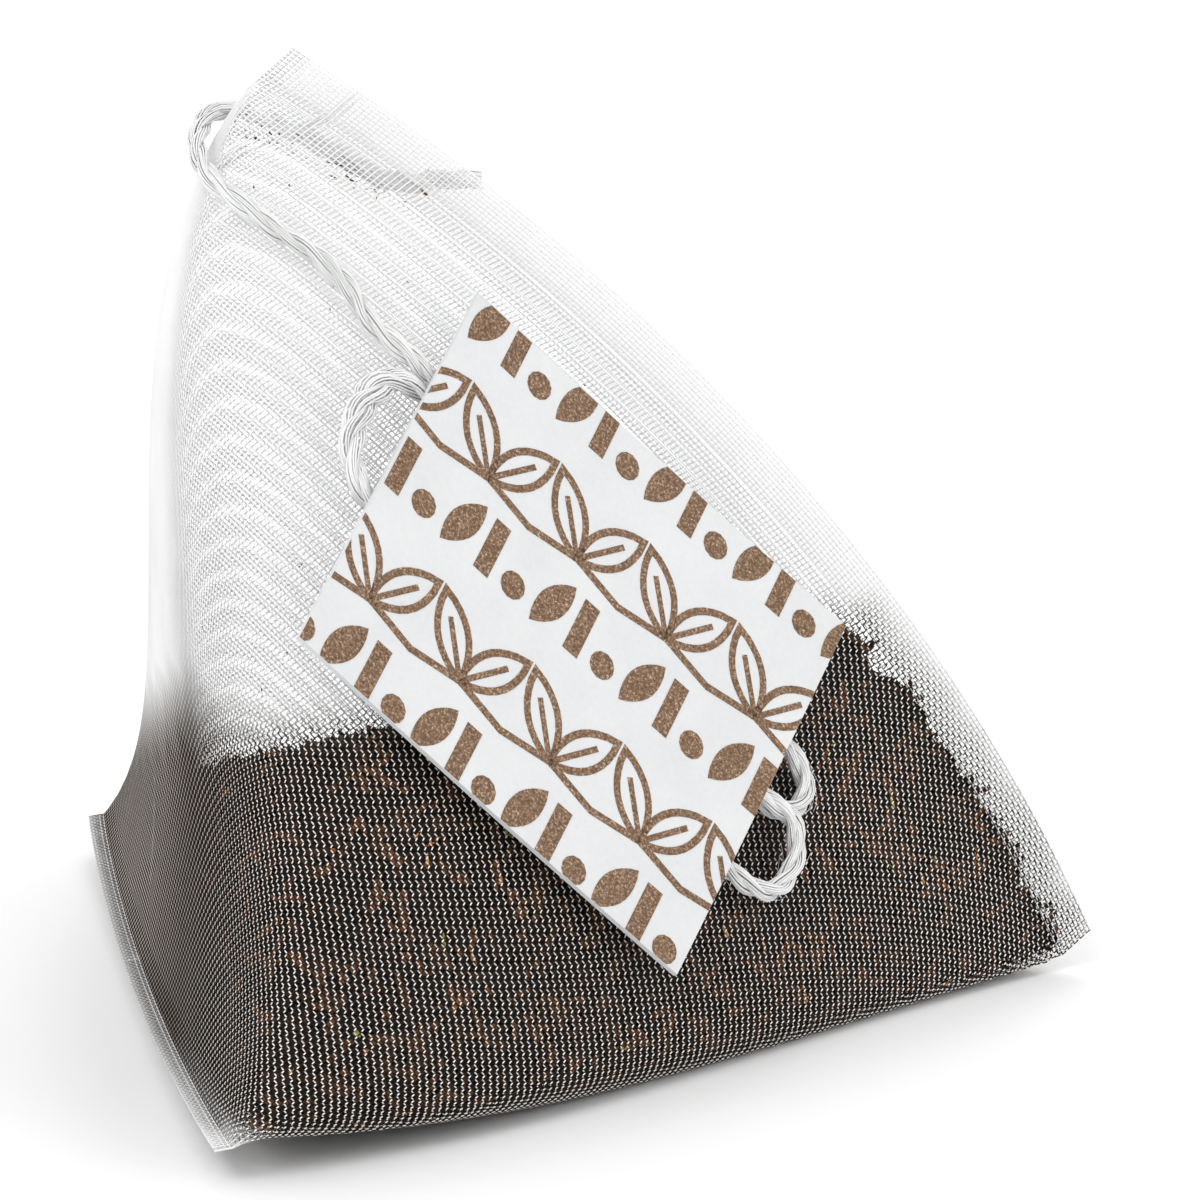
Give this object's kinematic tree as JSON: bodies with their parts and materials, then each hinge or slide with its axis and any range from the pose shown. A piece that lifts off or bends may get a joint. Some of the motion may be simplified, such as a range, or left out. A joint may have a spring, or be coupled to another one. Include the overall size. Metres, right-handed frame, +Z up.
{
  "type": "pyramid tea bag",
  "caption": "Pyramid bag of fine woven mesh filled with loose black tea, standing on one face, with its folded thread and a paper tag on the front.",
  "frame": {"origin": "middle of the bag's footprint box, on the surface it stands on", "axes": "+Z up; the lower seal runs along Y on the -X side; the upper seal climbs from the +X corner to the top in the XZ plane; the tag is on the -Y face"},
  "size_m": [0.0522, 0.065, 0.0519],
  "materials": {
    "mesh": "clear woven monofilament mesh",
    "tea": "dry curled black tea leaves, matte",
    "thread": "soft twisted white thread",
    "paper": "uncoated white paper with brown print"
  },
  "bodies": {
    "root": {"mesh_bag": "mesh", "tea_leaves": "tea", "string": "thread", "string_hank": "thread", "tag": "paper"}
  },
  "joints": []
}
